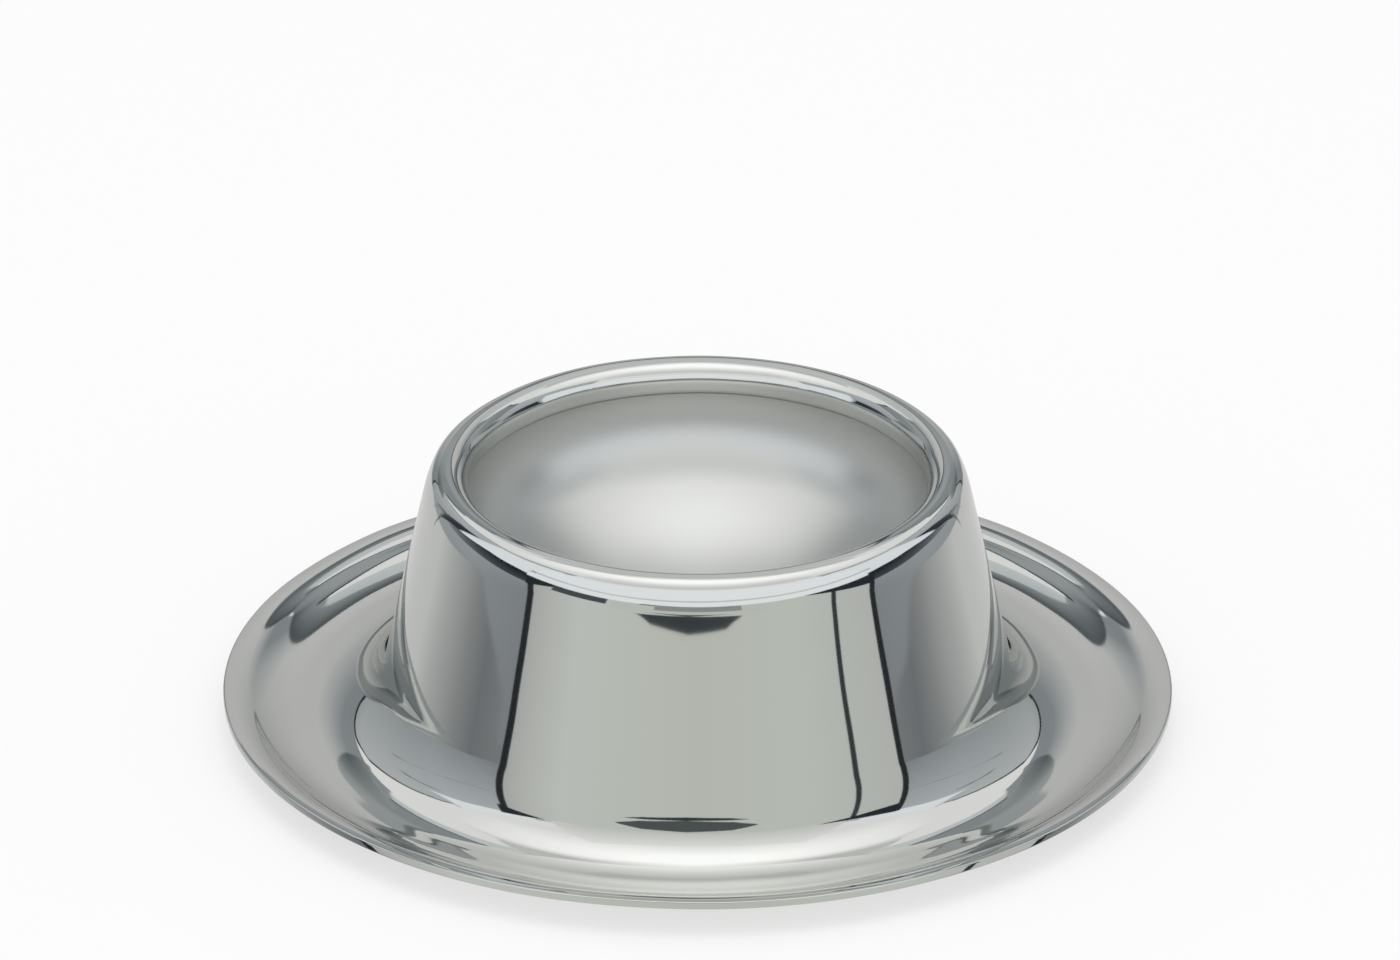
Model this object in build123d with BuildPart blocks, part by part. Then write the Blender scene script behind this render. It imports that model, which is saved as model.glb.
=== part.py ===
"""Egg cup of polished sheet steel: a round bowl caught in the rolled lip of a pressed saucer."""

import os
from math import asin, atan2, cos, degrees, radians, sin

from build123d import *

# Driving dimensions, in millimetres and degrees. Z is the axis of the cup, and the table is Z = 0.

# Whole cup
saucer_diameter = 85.0
cup_height = 24.8

# Sheet steel, and the small round that polishing leaves on its cut edges
shell_gauge = 0.7
bowl_gauge = 0.6
edge_round = 0.15

# Saucer: a narrow level ring that the cup stands on, an S-shaped rise and a level land at the rim.
# The last value is the radius of the hollow arc of the rise, as a multiple of the round one above it.
rim_height = 3.15
rim_land = 0.5
floor_width = 1.0
rise_to_roll = 2.0

# Collar: its lean from upright, the soft shoulder under the lip and the broad fillet into the saucer
collar_lean = 12.4
shoulder_radius = 9.0
foot_fillet = 6.8

# Lip, rolled inwards: the circle of its crest, its own radius, its lean where the shoulder takes over,
# and the hem that turns down in the mouth
crest_diameter = 44.4
lip_radius = 1.7
lip_lean = 26.0
hem_depth = 1.2

# Bowl: its depth below the crest, its straight wall, and the flange that nests inside the lip
bowl_depth = 17.6
bowl_wall = 1.5
bowl_corner_radius = 10.0
flange_turn = 130.0
seam_clearance = 0.05

os.makedirs("parts", exist_ok=True)

# Places that both pressings share
rim_radius = saucer_diameter / 2
crest_radius = crest_diameter / 2
lip_centre_height = cup_height - lip_radius
throat_radius = crest_radius - lip_radius

# Saucer shell: one pressing from the hem in the mouth, over the lip, down the collar and out to the rim.
# The height that the lip, the shoulder and the fillet leave over belongs to the straight wall.
lip_end_height = lip_centre_height + lip_radius * sin(radians(lip_lean))
shoulder_height = shoulder_radius * (sin(radians(lip_lean)) - sin(radians(collar_lean)))
fillet_height = foot_fillet * (1 - sin(radians(collar_lean)))
wall_height = lip_end_height - shoulder_height - fillet_height - shell_gauge
wall_length = wall_height / cos(radians(collar_lean))

with BuildPart() as saucer_shell:
    with BuildSketch(Plane.XZ) as shell_section:
        with BuildLine() as shell_skin:
            hem = Line((throat_radius, lip_centre_height - hem_depth), (throat_radius, lip_centre_height))
            lip = JernArc(hem @ 1, hem % 1, lip_radius, lip_lean - 180)
            shoulder = JernArc(lip @ 1, lip % 1, shoulder_radius, collar_lean - lip_lean)
            wall = Line(shoulder @ 1, shoulder @ 1 + shoulder % 1 * wall_length)
            fillet_in = JernArc(wall @ 1, wall % 1, foot_fillet, 90 - collar_lean)
            floor = Line(fillet_in @ 1, fillet_in @ 1 + (floor_width, 0))
            # Two opposite arcs climb from the floor to the land, the lower one the larger.
            rise_run = rim_radius - rim_land - (floor @ 1).X
            rise_angle = 2 * atan2(rim_height - shell_gauge, rise_run)
            roll_radius = rise_run / sin(rise_angle) / (1 + rise_to_roll)
            rise = JernArc(floor @ 1, (1, 0), roll_radius * rise_to_roll, degrees(rise_angle))
            roll = JernArc(rise @ 1, rise % 1, roll_radius, -degrees(rise_angle))
            land = Line(roll @ 1, (rim_radius, rim_height))
            offset(amount=shell_gauge, side=Side.RIGHT)
        make_face()
        fillet(shell_section.vertices().group_by(Axis.X)[-1], edge_round)
    revolve(axis=Axis.Z)
saucer_shell.part.label = "saucer_shell"
export_step(saucer_shell.part, "parts/saucer_shell.step")

# Egg bowl: a second pressing, round at the bottom, whose flange follows the inside of the lip.
# Its crown arc is the one that meets the corner arc smoothly at the given depth.
flange_radius = lip_radius - shell_gauge - seam_clearance
bowl_radius = crest_radius - flange_radius
bowl_rise = bowl_depth - lip_radius - bowl_wall
corner_reach = bowl_radius - bowl_corner_radius
crown_radius = (corner_reach**2 + bowl_rise**2 - bowl_corner_radius**2) / (2 * (bowl_rise - bowl_corner_radius))
crown_turn = degrees(asin(corner_reach / (crown_radius - bowl_corner_radius)))

with BuildPart() as egg_bowl:
    with BuildSketch(Plane.XZ) as bowl_section:
        with BuildLine() as bowl_skin:
            crown = JernArc((0, cup_height - bowl_depth), (1, 0), crown_radius, crown_turn)
            corner = JernArc(crown @ 1, crown % 1, bowl_corner_radius, 90 - crown_turn)
            side = Line(corner @ 1, (bowl_radius, lip_centre_height))
            flange = JernArc(side @ 1, side % 1, flange_radius, -flange_turn)
            offset(amount=bowl_gauge, side=Side.RIGHT)
        make_face()
    revolve(axis=Axis.Z)
egg_bowl.part.label = "egg_bowl"
export_step(egg_bowl.part, "parts/egg_bowl.step")
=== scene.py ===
import math

import bpy
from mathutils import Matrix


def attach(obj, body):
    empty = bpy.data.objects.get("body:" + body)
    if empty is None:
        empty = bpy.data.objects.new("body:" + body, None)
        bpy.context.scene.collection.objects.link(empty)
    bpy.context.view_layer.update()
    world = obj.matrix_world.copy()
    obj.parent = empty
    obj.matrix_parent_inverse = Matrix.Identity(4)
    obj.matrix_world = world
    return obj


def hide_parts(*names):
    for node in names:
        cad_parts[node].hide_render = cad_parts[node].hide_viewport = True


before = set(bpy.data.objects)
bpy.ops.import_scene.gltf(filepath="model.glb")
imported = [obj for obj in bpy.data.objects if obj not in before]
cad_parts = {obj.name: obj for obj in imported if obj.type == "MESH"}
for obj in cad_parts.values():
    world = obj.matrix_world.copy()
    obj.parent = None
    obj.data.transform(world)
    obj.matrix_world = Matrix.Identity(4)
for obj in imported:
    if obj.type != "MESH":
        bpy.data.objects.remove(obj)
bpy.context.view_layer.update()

# Saucer shell: one pressing of stainless sheet that makes the whole outside of the cup. It runs from the
# hem in the mouth over the rolled lip, down a soft shoulder and the straight collar, and through a broad
# fillet into the saucer. Its section is a path of points (radius, height, heading), in mm and degrees.
cup_height = 24.8
shell_gauge = 0.7
crest_radius = 22.2
lip_radius = 1.7
lip_lean = 26.0
hem_depth = 1.2
hem_round = 0.3
shoulder_radius = 9.0
collar_lean = 12.4
collar_wall = 16.167
foot_fillet = 6.8
ring_width = 1.0
rise_to_roll = 2.0
rim_radius = 42.5
rim_height = 3.15
rim_land = 0.5
rim_round = 0.15


def straight(path, length, steps):
    """Carries a path on in the direction that it has."""
    r, z, heading = path[-1]
    along = math.cos(math.radians(heading))
    up = math.sin(math.radians(heading))
    for i in range(1, steps + 1):
        way = length * i / steps
        path.append((r + way * along, z + way * up, heading))


def bend(path, radius, turn, step):
    """Carries a path on along an arc, to the left where the turn is positive."""
    r, z, heading = path[-1]
    side = math.copysign(radius, turn)
    count = math.ceil(abs(turn) / step)
    start = math.radians(heading)
    for i in range(1, count + 1):
        facing = heading + turn * i / count
        now = math.radians(facing)
        along = side * (math.sin(now) - math.sin(start))
        up = side * (math.cos(start) - math.cos(now))
        path.append((r + along, z + up, facing))


def cut_edge(path, gauge, edge_round):
    """Takes a path round the cut edge of a sheet to its other side."""
    bend(path, edge_round, -90, step=15)
    straight(path, gauge - 2 * edge_round, steps=1)
    bend(path, edge_round, -90, step=15)


def sheet_section(skin, gauge, last_round, first_round=None):
    """Closes a path into the outline of a sheet that lies on its right, with rounded cut edges.
    A path that starts on the axis has no first edge."""
    outline = list(skin)
    cut_edge(outline, gauge, last_round)
    for r, z, heading in reversed(skin):
        turn = math.radians(heading)
        outline.append((r + gauge * math.sin(turn), z - gauge * math.cos(turn), heading + 180))
    if first_round:
        cut_edge(outline, gauge, first_round)
    return outline


def add(tree, kind, settings=None, **values):
    """Adds a node, sets its properties and fills its sockets with values or links."""
    node = tree.nodes.new(kind)
    for name, value in (settings or {}).items():
        setattr(node, name, value)
    for name, value in values.items():
        socket = node.inputs[int(name[1:])] if name[0] == "_" else node.inputs[name.replace("_", " ")]
        if isinstance(value, bpy.types.NodeSocket):
            tree.links.new(value, socket)
        else:
            socket.default_value = value
    return node


def linear(code):
    """Turns an sRGB hex code into a linear colour."""
    parts = [int(code[i:i + 2], 16) / 255 for i in (1, 3, 5)]
    return [c / 12.92 if c <= 0.04045 else ((c + 0.055) / 1.055) ** 2.4 for c in parts] + [1.0]


# Spinning a section into a pressing, with the slight waviness that drawn sheet keeps under its polish
merge_distance = 1e-6
noise_middle = (0.5, 0.5, 0.5)
spun = bpy.data.node_groups.new("spun_pressing", "GeometryNodeTree")
spun.interface.new_socket("Section", in_out="INPUT", socket_type="NodeSocketGeometry")
spun.interface.new_socket("Segments", in_out="INPUT", socket_type="NodeSocketInt")
spun.interface.new_socket("Wave Height", in_out="INPUT", socket_type="NodeSocketFloat")
spun.interface.new_socket("Wave Length", in_out="INPUT", socket_type="NodeSocketFloat")
spun.interface.new_socket("Surface", in_out="INPUT", socket_type="NodeSocketMaterial")
spun.interface.new_socket("Pressing", in_out="OUTPUT", socket_type="NodeSocketGeometry")
given = add(spun, "NodeGroupInput").outputs
size = add(spun, "GeometryNodeAttributeDomainSize", Geometry=given["Section"])
columns = add(spun, "FunctionNodeIntegerMath", {"operation": "ADD"}, _0=given["Segments"], _1=1)
grid = add(spun, "GeometryNodeMeshGrid", Vertices_X=size.outputs["Point Count"],
           Vertices_Y=columns.outputs[0])
index = add(spun, "GeometryNodeInputIndex").outputs[0]
row = add(spun, "FunctionNodeIntegerMath", {"operation": "DIVIDE_FLOOR"}, _0=index, _1=columns.outputs[0])
column = add(spun, "FunctionNodeIntegerMath", {"operation": "MODULO"}, _0=index, _1=columns.outputs[0])
share = add(spun, "ShaderNodeMath", {"operation": "DIVIDE"}, _0=column.outputs[0], _1=given["Segments"])
angle = add(spun, "ShaderNodeMath", {"operation": "MULTIPLY"}, _0=share.outputs[0], _1=math.tau)
place = add(spun, "GeometryNodeInputPosition").outputs[0]
point = add(spun, "GeometryNodeSampleIndex", {"data_type": "FLOAT_VECTOR"}, Geometry=given["Section"],
            Value=place, Index=row.outputs[0])
turned = add(spun, "ShaderNodeVectorRotate", {"rotation_type": "Z_AXIS"}, Vector=point.outputs[0],
             Angle=angle.outputs[0])
ring = add(spun, "GeometryNodeSetPosition", Geometry=grid.outputs["Mesh"], Position=turned.outputs[0])
closed = add(spun, "GeometryNodeMergeByDistance", Geometry=ring.outputs[0], Distance=merge_distance)
spacing = add(spun, "ShaderNodeMath", {"operation": "DIVIDE"}, _0=1.0, _1=given["Wave Length"])
ripple = add(spun, "ShaderNodeTexNoise", Vector=place, Scale=spacing.outputs[0], Detail=1.0)
centred = add(spun, "ShaderNodeVectorMath", {"operation": "SUBTRACT"}, _0=ripple.outputs["Color"],
              _1=noise_middle)
push = add(spun, "ShaderNodeVectorMath", {"operation": "SCALE"}, _0=centred.outputs[0],
           Scale=given["Wave Height"])
waved = add(spun, "GeometryNodeSetPosition", Geometry=closed.outputs[0], Offset=push.outputs[0])
smooth = add(spun, "GeometryNodeSetShadeSmooth", Geometry=waved.outputs[0])
real = add(spun, "GeometryNodeRealizeInstances", Geometry=smooth.outputs[0])
dressed = add(spun, "GeometryNodeSetMaterial", Geometry=real.outputs[0], Material=given["Surface"])
add(spun, "NodeGroupOutput", Pressing=dressed.outputs[0])


def spin(name, outline, surface, segments, wave_height, wave_length):
    """Spins a closed outline in millimetres into a plain mesh object. The waves are in metres."""
    rim = bpy.data.meshes.new(name)
    rim.from_pydata([(r / 1000, 0, z / 1000) for r, z, _ in outline + outline[:1]], [], [])
    piece = bpy.data.objects.new(name, rim)
    bpy.context.scene.collection.objects.link(piece)
    nodes = piece.modifiers.new("spun", "NODES")
    nodes.node_group = spun
    inputs = {"Segments": segments, "Surface": surface}
    inputs |= {"Wave Height": wave_height, "Wave Length": wave_length}
    for item in spun.interface.items_tree:
        if item.name in inputs:
            nodes[item.identifier] = inputs[item.name]
    view = bpy.context.evaluated_depsgraph_get()
    mesh = bpy.data.meshes.new_from_object(piece.evaluated_get(view))
    piece.modifiers.remove(nodes)
    piece.data = mesh
    mesh.name = name
    return piece


def polished(name, colour, roughness, line_depth):
    """Stainless steel polished on the lathe: a bright metal with very fine lines round its axis."""
    # Real polishing lines are finer than a pixel, so these are drawn about 0.3 mm apart.
    line_spacing = 0.303
    steel = bpy.data.materials.new(name)
    steel.use_nodes = True
    tree = steel.node_tree
    metal = tree.nodes["Principled BSDF"]
    metal.inputs["Base Color"].default_value = linear(colour)
    metal.inputs["Metallic"].default_value = 1.0
    metal.inputs["Roughness"].default_value = roughness
    where = add(tree, "ShaderNodeTexCoord").outputs["Object"]
    across = add(tree, "ShaderNodeVectorMath", {"operation": "MULTIPLY"}, _0=where, _1=(1, 1, 0))
    radius = add(tree, "ShaderNodeVectorMath", {"operation": "LENGTH"}, _0=across.outputs[0])
    height = add(tree, "ShaderNodeSeparateXYZ", Vector=where)
    flat = add(tree, "ShaderNodeCombineXYZ", X=radius.outputs["Value"], Y=height.outputs["Z"])
    lines = add(tree, "ShaderNodeTexNoise", {"noise_dimensions": "2D"}, Vector=flat.outputs[0],
                Scale=1000 / line_spacing, Detail=2.0)
    bump = add(tree, "ShaderNodeBump", Strength=1.0, Distance=line_depth, Height=lines.outputs[0])
    tree.links.new(bump.outputs[0], metal.inputs["Normal"])
    return steel


# The part of the lip that faces into the mouth has longer steps, because less of it shows.
mouth_turn = 64.0
throat_radius = crest_radius - lip_radius
lip_centre = cup_height - lip_radius
skin = [(throat_radius, lip_centre - hem_depth + hem_round, 90.0)]
straight(skin, hem_depth - hem_round, steps=4)
bend(skin, lip_radius, -mouth_turn, step=4)
bend(skin, lip_radius, lip_lean + mouth_turn - 180, step=2.5)
bend(skin, shoulder_radius, collar_lean - lip_lean, step=0.8)
straight(skin, collar_wall, steps=26)
bend(skin, foot_fillet, 90 - collar_lean, step=1.8)
straight(skin, ring_width, steps=4)
# Two opposite arcs climb from the ring that the cup stands on to the rim, the lower one the larger.
rise_run = rim_radius - rim_land - skin[-1][0]
rise_angle = 2 * math.degrees(math.atan2(rim_height - shell_gauge, rise_run))
roll_radius = rise_run / math.sin(math.radians(rise_angle)) / (1 + rise_to_roll)
bend(skin, rise_to_roll * roll_radius, rise_angle, step=1.8)
bend(skin, roll_radius, -rise_angle, step=2.2)
straight(skin, rim_land - rim_round, steps=2)
# Mirror polish: the shell shows its surroundings sharply.
shell_steel = polished("polished_stainless_steel", "#d2d3d0", roughness=0.05, line_depth=1e-7)
shell = spin("saucer_shell_pressing", sheet_section(skin, shell_gauge, rim_round, hem_round), shell_steel,
             segments=240, wave_height=1.5e-4, wave_length=0.014)
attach(shell, "root")
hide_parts("saucer_shell")

# Egg bowl: a second pressing of stainless sheet, that sits in the collar. It is round at the bottom, and its
# flange turns out into the rolled lip, so that only the seam under the hem shows.
bowl_gauge = 0.6
bowl_depth = 17.6
bowl_wall = 1.5
bowl_corner = 10.0
flange_turn = 130.0
flange_round = 0.15
seam_clearance = 0.05
flange_radius = lip_radius - shell_gauge - seam_clearance
bowl_radius = crest_radius - flange_radius
bowl_rise = bowl_depth - lip_radius - bowl_wall
corner_reach = bowl_radius - bowl_corner
crown_radius = (corner_reach ** 2 + bowl_rise ** 2 - bowl_corner ** 2) / (2 * (bowl_rise - bowl_corner))
crown_turn = math.degrees(math.asin(corner_reach / (crown_radius - bowl_corner)))
inside = [(0.0, cup_height - bowl_depth, 0.0)]
bend(inside, crown_radius, crown_turn, step=1.0)
bend(inside, bowl_corner, 90 - crown_turn, step=1.5)
straight(inside, bowl_wall, steps=4)
bend(inside, flange_radius, -flange_turn, step=8)
# Satin polish: the same steel a little duller, so the bowl shows soft patches of light.
bowl_steel = polished("satin_stainless_steel", "#cdcecb", roughness=0.32, line_depth=6e-8)
bowl = spin("egg_bowl_pressing", sheet_section(inside, bowl_gauge, flange_round), bowl_steel,
            segments=240, wave_height=1.5e-5, wave_length=0.012)
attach(bowl, "root")
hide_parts("egg_bowl")

# Table: a sheet of plain matt white paper under the cup. The viewer sees it brighter than it lights the cup,
# and it keeps a soft part of the shadow. It lies 0.03 mm low, because the waves of the steel dip by 0.02 mm.
floor_height = -3e-5
floor_half = 3
white_share = 0.6
paper = bpy.data.materials.new("white_paper")
paper.use_nodes = True
tree = paper.node_tree
matt = tree.nodes["Principled BSDF"]
matt.inputs["Base Color"].default_value = linear("#f8f8f8")
matt.inputs["Roughness"].default_value = 0.9
white = add(tree, "ShaderNodeEmission", Color=linear("#ffffff"))
watched = add(tree, "ShaderNodeLightPath").outputs["Is Camera Ray"]
seen = add(tree, "ShaderNodeMath", {"operation": "MULTIPLY"}, _0=watched, _1=white_share)
lifted = add(tree, "ShaderNodeMixShader", _0=seen.outputs[0], _1=matt.outputs[0], _2=white.outputs[0])
tree.links.new(lifted.outputs[0], tree.nodes["Material Output"].inputs["Surface"])
corners = [(x * floor_half, y * floor_half, floor_height) for x, y in ((-1, -1), (1, -1), (1, 1), (-1, 1))]
sheet = bpy.data.meshes.new("floor")
sheet.from_pydata(corners, [], [(0, 1, 2, 3)])
sheet.materials.append(paper)
floor = bpy.data.objects.new("floor", sheet)
bpy.context.scene.collection.objects.link(floor)
floor.visible_glossy = False

# Light tent: the polished steel mirrors the cloth walls, the table and a few dark cards round the cup. Each
# is a patch of a sphere, seen only in the steel. Azimuth 0 is the viewer's side, positive to the right.
# The cloth is painted reflection: no lamp lights it, and it glows evenly in the tones that each card is
# given. These tones paint the light and shade of a lit tent, such as its bright roof and its shaded walls.
cloth = bpy.data.materials.new("tent_cloth")
cloth.use_nodes = True
tree = cloth.node_tree
tree.nodes.clear()
tone = add(tree, "ShaderNodeAttribute", {"attribute_name": "tone"})
glow = add(tree, "ShaderNodeEmission", Color=tone.outputs["Color"])
add(tree, "ShaderNodeOutputMaterial", Surface=glow.outputs[0])

# The same cloth, seen from inside and above only
inner_cloth = cloth.copy()
inner_cloth.name = "tent_cloth_inside"
tree = inner_cloth.node_tree
inside_face = add(tree, "ShaderNodeNewGeometry").outputs["Backfacing"]
through = add(tree, "ShaderNodeBsdfTransparent")
either = add(tree, "ShaderNodeMixShader", _0=inside_face, _1=through.outputs[0],
             _2=tree.nodes["Emission"].outputs[0])
tree.links.new(either.outputs[0], tree.nodes["Material Output"].inputs["Surface"])


def mirrored_only(name, points, faces, surface):
    """Puts up a mesh that only reflections show."""
    mesh = bpy.data.meshes.new(name)
    mesh.from_pydata(points, [], faces)
    mesh.materials.append(surface)
    patch = bpy.data.objects.new(name, mesh)
    bpy.context.scene.collection.objects.link(patch)
    patch.visible_camera = False
    patch.visible_diffuse = False
    patch.visible_shadow = False
    patch.visible_transmission = False
    return mesh


def between(first, last, share):
    """Mixes two rows of numbers."""
    return [a + (b - a) * share for a, b in zip(first, last)]


def card(name, stops, reach, gain=1.0, lean=0.0, surface=cloth):
    """Puts up a patch whose edges and colours run from stop to stop.
    A stop is an azimuth, two elevations in degrees and the colours there, at the bottom and the top.
    The reach is its distance in metres. A card that leans is farther away at its top."""
    rows = 16
    widest_column = 3
    points = []
    tones = []
    for left, right in zip(stops, stops[1:]):
        count = max(1, math.ceil((right[0] - left[0]) / widest_column))
        for i in range(count + (right is stops[-1])):
            azimuth, low, high = between(left[:3], right[:3], i / count)
            bottom = between(linear(left[3]), linear(right[3]), i / count)
            top = between(linear(left[-1]), linear(right[-1]), i / count)
            turn = math.radians(azimuth)
            for j in range(rows + 1):
                climb = math.radians(low + (high - low) * j / rows)
                far = reach + lean * j / rows
                level = far * math.cos(climb)
                points.append((level * math.sin(turn), -level * math.cos(turn), far * math.sin(climb)))
                tones.append([gain * part for part in between(bottom, top, j / rows)])
    faces = []
    for start in range(0, len(points) - rows - 1, rows + 1):
        for low in range(start, start + rows):
            beside = low + rows + 1
            faces.append((low, beside, beside + 1, low + 1))
    mesh = mirrored_only(name, points, faces, surface)
    paint = mesh.attributes.new("tone", "FLOAT_COLOR", "POINT")
    paint.data.foreach_set("color", [part for colour in tones for part in colour])


def both_sides(name, stops, reach, gain=1.0, lean=0.0, surface=cloth):
    """Puts up a card on the right, and its mirror image on the left."""
    card(name + "_right", stops, reach, gain, lean, surface)
    mirrored = [(-stop[0],) + stop[1:] for stop in reversed(stops)]
    card(name + "_left", mirrored, reach, gain, lean, surface)


# White paper in front, with dark edges and a slit, drawn as a painted reflection of lit paper that is greyer
# towards both ends. It stands close, so the lip looks over it and the foot doesn't.
card("front_paper", [
    (-57, -89, 31.5, "#c0c3c3"), (-50, -89, 31.5, "#d0d1cf"), (-38, -89, 31.5, "#dde2de"),
    (0, -89, 31.5, "#d8dbd5"), (30, -89, 31.5, "#dadfd9"), (60, -89, 31.5, "#d0d2d0"),
], reach=0.06)
card("front_edge_left", [(-57.6, -89, 31, "#2c3034"), (-55.2, -89, 31, "#2c3034")], reach=0.0595)
card("front_slit_right", [(43.8, -89, 30, "#3a3e42"), (45.5, -89, 30, "#3a3e42")], reach=0.0595)
card("front_edge_right", [(58.6, -89, 31, "#2c3034"), (60.8, -89, 31, "#2c3034")], reach=0.0595)
card("front_corner_left", [
    (-57, 24.5, 29.6, "#2c3238"), (-50, 27, 29.6, "#2c3238"), (-43, 29.3, 29.6, "#2c3238"),
], reach=0.055)
card("front_corner_right", [
    (34, 29.4, 29.6, "#2c3238"), (44, 27.4, 29.6, "#2c3238"),
    (50, 26, 29.6, "#2c3238"), (58, 24.5, 29.6, "#2c3238"),
], reach=0.055)

# Two dark ovals on that paper, painted reflections of a dark thing in front of the cup. The collar shows the
# first one under its shoulder, and the foot shows the second. A leaning cover hides the second one from the
# shoulder.
card("front_shade", [
    (-20, 20.9, 21, "#40464a"), (-15, 19.6, 21.2, "#40464a"), (-3, 19.0, 21.4, "#40464a"),
    (9, 19.6, 21.2, "#40464a"), (14, 20.9, 21, "#40464a"),
], reach=0.0595)
card("front_shade_low", [
    (-22.5, 25, 25.6, "#5a6062"), (-16, 22.5, 28.8, "#5a6062"), (-3, 21.4, 30.4, "#5a6062"),
    (10, 22.5, 28.8, "#5a6062"), (16.5, 25, 25.6, "#5a6062"),
], reach=0.0595)
card("front_cover", [
    (-27, 25.9, 28, "#d8dcd6"), (21, 25.9, 28, "#d8dcd6"),
], reach=0.0517, lean=0.00605, surface=inner_cloth)

# White paper over its edge, which leans so that the lip sees it and the foot sees past it. It glows brighter
# than white and paints the bright highlight along the lip. Two grey dashes on it paint the thin dark line
# under that highlight, and a dark card at the sides carries that dark line on round the lip.
card("front_lip_paper", [
    (-57, 29.8, 41, "#f4f8ff"), (0, 29.6, 41, "#f8fbff"), (57, 29.8, 41, "#f4f8ff"),
], reach=0.0546, gain=1.15, lean=0.0588, surface=inner_cloth)
card("front_dash_left", [
    (-46, 28.2, 29.7, "#50565a"), (-28, 28.1, 29.6, "#50565a"),
], reach=0.051, lean=0.0036, surface=inner_cloth)
card("front_dash", [
    (-13, 28.1, 29.6, "#a0a4a4"), (13, 28.1, 29.6, "#a0a4a4"),
], reach=0.051, lean=0.0036, surface=inner_cloth)
both_sides("lip_paper", [
    (56.5, 30, 43, "#f4f8ff"), (62, 30.3, 43, "#f4f8ff"), (75, 30, 43, "#f4f8ff"),
    (80, 29.4, 43, "#f4f8ff"), (91, 27.2, 43, "#f0f4fc"), (93, 26.8, 43, "#a8aeb6"),
], reach=0.0562, gain=1.1, lean=0.062, surface=inner_cloth)
both_sides("lip_shade", [
    (93, 26.8, 33.8, "#383e46"), (100, 24.4, 32, "#383e46"),
    (108, 20, 29, "#484e54"), (116, 9, 20, "#8a9094"),
], reach=0.0562, lean=0.052, surface=inner_cloth)

# Dark band at the sides, which the shoulder under the lip sees: a painted reflection, darkest at its top edge
both_sides("band", [
    (60, 20.3, 22, "#4a5058", "#0c1018"), (70, 20.3, 22, "#4a5058", "#0c1018"),
    (84, 20.2, 22, "#5a6066", "#12161e"), (89, 20, 21.8, "#666c72", "#161a22"),
    (99, 19, 21, "#82868a", "#22282e"), (109, 17.5, 20, "#92969a", "#30363c"),
    (117, 15, 17.5, "#a0a4a8", "#50565c"), (123, 10, 12, "#b0b4b8", "#80868a"),
], reach=0.0693, lean=0.0248, surface=inner_cloth)

# Table top beyond the paper, and the grey side walls with their dark upper edge. Their tones are painted
# shade: the table is darker at the sides than behind the cup, and the walls are darker towards the bottom.
both_sides("table", [
    (57, -89, -4, "#8a8c90"), (73, -89, -4, "#8a8c90"), (83, -89, -4, "#808388"),
    (93, -89, -4, "#989a9c"), (101, -89, -4, "#aeb0b1"), (110, -89, -4, "#bfc1c1"),
    (123, -89, -4, "#d8d9d9"), (180, -89, -4, "#dcdcdc"),
], reach=0.25)
both_sides("wall", [
    (57, -4, 46, "#8a8e94", "#c0c6ca"), (85, -4, 46, "#9a9fa4", "#c4cace"),
    (100, -4, 44.5, "#a4a9ae", "#c6ccd0"), (110, -4, 43, "#a4a9ae", "#c6ccd0"),
    (120, -4, 39.5, "#a6abae", "#c8ccd0"), (130, -4, 35, "#a8adb0", "#c8ccd0"),
    (138, -4, 30.5, "#a8adb0", "#c8ccd0"), (141, -4, 24, "#a8adb0", "#b8bcc0"),
    (143.5, -4, 4, "#a8adb0", "#a8adb0"),
], reach=0.25)
both_sides("wall_edge", [
    (57, 40, 46.6, "#30363c"), (85, 40, 46.6, "#30363c"), (110, 38, 43.7, "#30363c"),
    (120, 34, 40.4, "#282e34"), (130, 28, 36.1, "#20262c"), (138, 20, 31.8, "#1a2026"),
    (141.6, 10, 25.6, "#1a2026"), (144.6, -4, 4, "#343a40"),
], reach=0.251)

# Back wall, with a valance and a flap of cloth that hang in front of it, all painted reflections; the back
# wall is painted lighter towards its top.
both_sides("back", [
    (142, -4, 40, "#8c9296", "#9aa0a4"), (150, -4, 40, "#8c9296", "#9ca2a6"),
    (158, -4, 40, "#a4a8aa", "#c4c6c8"), (166, -4, 40, "#b0b2b2", "#dcdcdc"),
    (180, -4, 40, "#a6a6a6", "#e0e0e0"),
], reach=0.252)
both_sides("back_upper", [
    (146, 40, 58, "#dce1e4"), (157, 40, 58, "#ccd2d5", "#e0e4e6"), (180, 40, 58, "#d0d5d8", "#e0e4e6"),
], reach=0.252)
both_sides("valance", [
    (122, 30, 31, "#9a9fa2"), (124.5, 29, 33, "#8c9296", "#94999c"),
    (128, 28, 35, "#747a7e", "#8a9094"), (133, 28, 39.5, "#5c6266", "#a0a5a8"),
    (138, 29, 40, "#787e82", "#a0a5a8"), (144, 30, 40, "#a6abad", "#92989c"),
    (150, 30.5, 40, "#acb0b2", "#a4a9ac"), (157, 30.5, 40, "#a0a5a8", "#acb1b4"),
    (162, 30.5, 39, "#868c90", "#a4a9ac"), (166, 30.5, 38, "#50565c", "#9aa0a4"),
    (171, 30.5, 37, "#50565c", "#9aa0a4"), (180, 30.5, 37, "#484e54", "#949a9e"),
], reach=0.0795)
both_sides("flap", [
    (131, 39, 50, "#92989c"), (133, 39, 54, "#989ea2"), (147, 37.5, 55, "#989ea2"),
    (152, 37, 55, "#acb1b5"), (161, 37, 47, "#acb1b5"), (166, 36, 42, "#9a9fa3"), (170, 36, 36.5, "#848a8e"),
], reach=0.08)
both_sides("flap_edge", [
    (130, 39, 51, "#484e54"), (132.5, 39, 55, "#484e54"), (152.8, 37, 56, "#484e54"),
    (162, 37, 47.6, "#484e54"), (167.2, 36, 42.6, "#484e54"), (171.6, 36, 37, "#484e54"),
], reach=0.0805)
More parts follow.
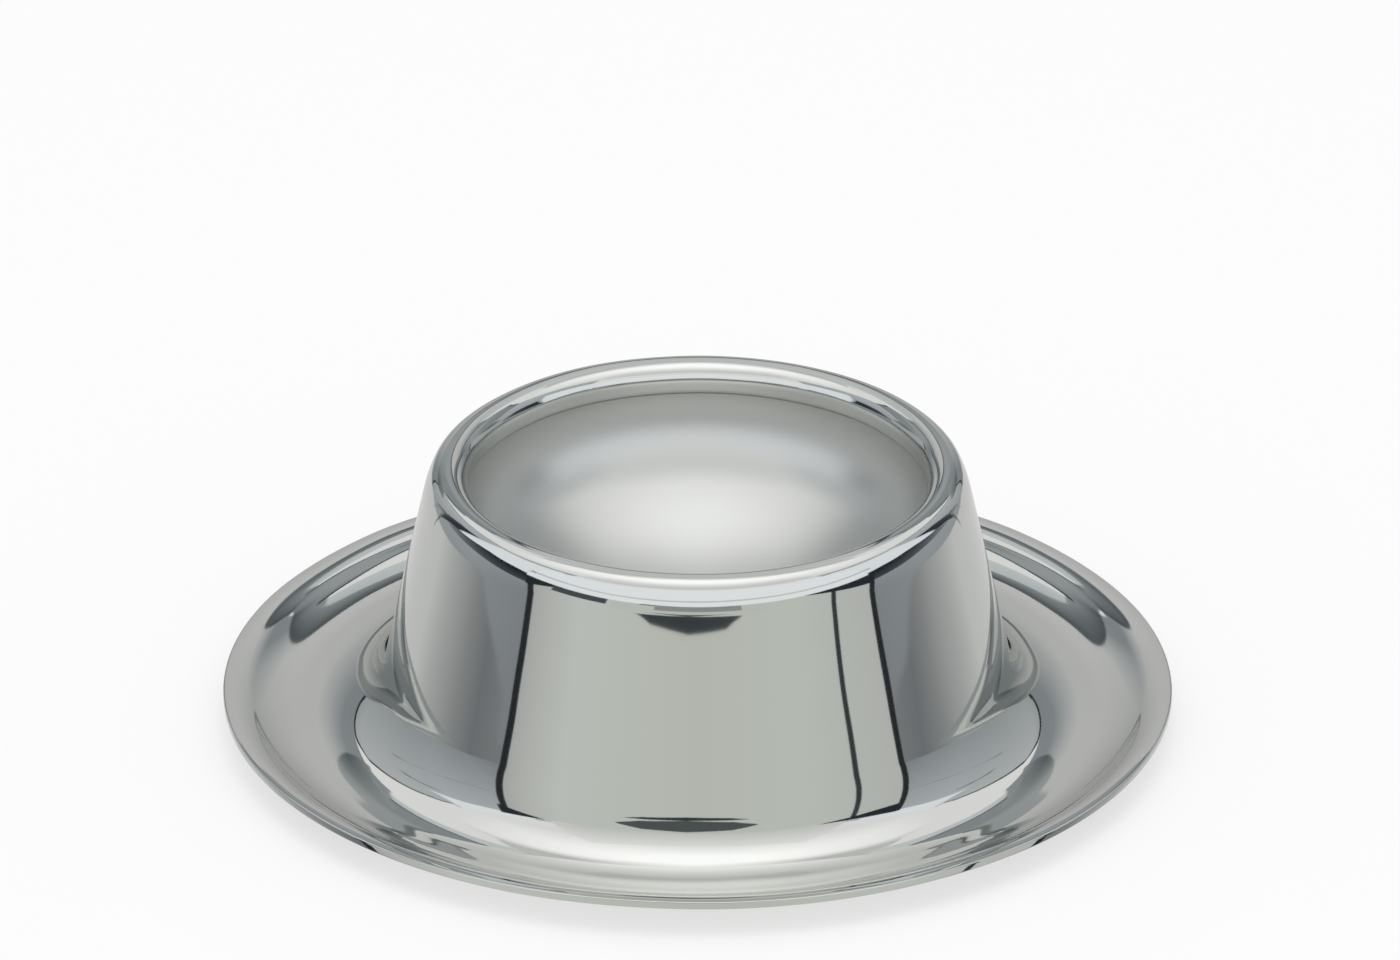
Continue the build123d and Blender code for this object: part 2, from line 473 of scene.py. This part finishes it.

# Roof of the tent: pale cloth that brightens upwards, all round and over the cup. It is painted light: the
# dome and the ceiling glow half again as bright as white and paint the softbox's highlight in the steel.
card("front_upper", [
    (-57, 46, 66, "#e4e4e4", "#ffffff"), (-44, 46, 66, "#dadcda", "#ffffff"),
    (0, 46, 66, "#d8dad8", "#ffffff"), (44, 46, 66, "#dadcda", "#ffffff"),
    (58, 46, 66, "#e4e4e4", "#ffffff"),
], reach=0.24, gain=1.05)
both_sides("dome", [
    (0, 60, 82, "#cccccc", "#ffffff"), (60, 54, 82, "#d0d0d0", "#ffffff"),
    (90, 48, 82, "#d5d5d5", "#ffffff"), (122, 52, 82, "#d5d5d5", "#ffffff"),
    (140, 66, 84, "#b0b0b0", "#ffffff"), (180, 66, 84, "#b0b0b0", "#ffffff"),
], reach=0.249, gain=1.5)
both_sides("rear", [(130, 59, 68, "#d8dada"), (180, 57, 68, "#d8dada")], reach=0.25)
card("ceiling", [(-180, 81, 90, "#fdfeff"), (180, 81, 90, "#fdfeff")], reach=0.25, gain=1.5)

# White surround outside the tent: plain white where the viewer or the steel looks at it, and a little dimmer
# where it lights the cup and the table.
dim = 0.85
plain_white = 1.0
world = bpy.data.worlds.new("white_tent")
bpy.context.scene.world = world
world.use_nodes = True
tree = world.node_tree
rays = add(tree, "ShaderNodeLightPath").outputs
mirrored = add(tree, "ShaderNodeMath", {"operation": "MAXIMUM"}, _0=rays["Is Glossy Ray"],
               _1=rays["Is Transmission Ray"])
seen = add(tree, "ShaderNodeMath", {"operation": "MAXIMUM"}, _0=rays["Is Camera Ray"], _1=mirrored.outputs[0])
level = add(tree, "ShaderNodeMapRange", Value=seen.outputs[0], To_Min=dim, To_Max=plain_white)
tree.links.new(level.outputs[0], tree.nodes["Background"].inputs["Strength"])
tree.nodes["Background"].inputs["Color"].default_value = linear("#ffffff")

# Softbox: the one real lamp, a round of white cloth straight above the cup. The steel doesn't mirror it: it
# is hidden from reflections, the roof of the tent hangs below it, and the glowing roof paints its highlight
# instead.
softbox_height = 0.75
lamp = bpy.data.lights.new("softbox", "AREA")
lamp.shape = "DISK"
lamp.size = 0.5
lamp.energy = 0.96
softbox = bpy.data.objects.new("softbox", lamp)
softbox.location = (0, 0, softbox_height)
softbox.visible_glossy = False
bpy.context.scene.collection.objects.link(softbox)

# Camera: at the photograph's angle above the table, and turned so that the cup sits low in the frame and a
# hair to the left. The distances are in millimetres, and the last two values are pixels of the photograph.
elevation = math.radians(26.84)
distance = 1200
aim_height = 2.8
pixels_per_mm = 11.154
photo_width = 1400
pixels_low = 205.5
pixels_left = 2.8
focus = pixels_per_mm * distance
lens = bpy.data.cameras.new("camera")
lens.sensor_width = 36.0
lens.lens = focus / photo_width * lens.sensor_width
lens.clip_start = 0.01
camera = bpy.data.objects.new("camera", lens)
back_off = distance * math.cos(elevation)
camera_height = aim_height + distance * math.sin(elevation)
camera.location = (0, -back_off / 1000, camera_height / 1000)
pitch = math.pi / 2 - elevation + math.atan(pixels_low / focus)
camera.rotation_euler = (pitch, 0, math.atan(-pixels_left / focus))
bpy.context.scene.collection.objects.link(camera)
bpy.context.scene.camera = camera
bpy.context.scene.view_settings.view_transform = "Standard"
